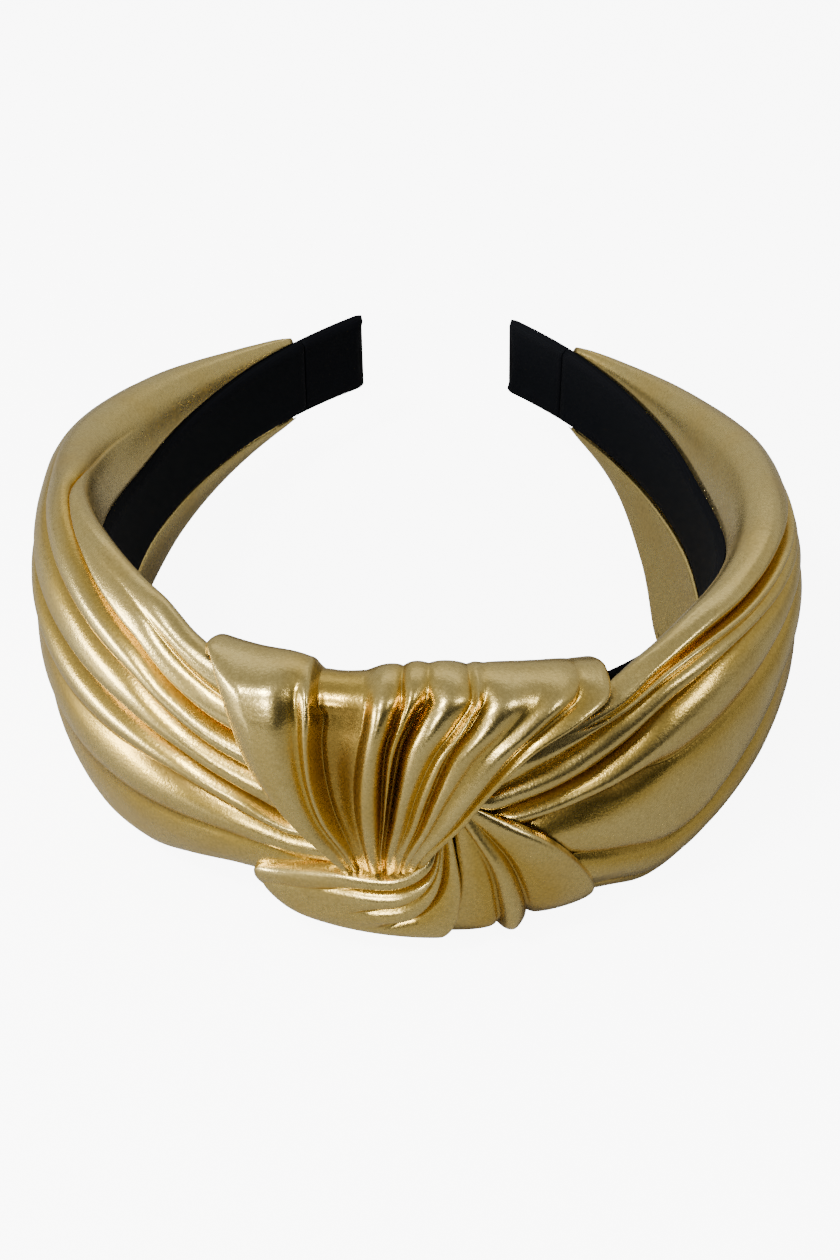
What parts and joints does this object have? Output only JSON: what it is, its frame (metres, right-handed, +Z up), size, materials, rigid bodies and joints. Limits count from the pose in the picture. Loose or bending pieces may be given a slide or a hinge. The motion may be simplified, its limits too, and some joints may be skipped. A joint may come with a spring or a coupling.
{
  "type": "knot headband",
  "caption": "Padded gold faux-leather headband with a pleated knot at the front and a black fabric-covered hoop, lying on its lower edge.",
  "frame": {"origin": "middle of the bounding box at floor height", "axes": "+Z up along the band's width, -Y towards the knot, +Y towards the open tips, lying on its lower edge"},
  "size_m": [0.1546, 0.1752, 0.0623],
  "materials": {
    "gold_leather": "metallic gold faux leather, softly glossy, fine grain",
    "black_fabric": "matte black woven fabric"
  },
  "bodies": {
    "root": {"band_core": "black_fabric", "tip_sleeve_left": "black_fabric", "tip_sleeve_right": "black_fabric", "cover_left": "gold_leather", "cover_right": "gold_leather", "knot_fan": "gold_leather", "knot_roll": "gold_leather", "knot_tail": "gold_leather"}
  },
  "joints": []
}
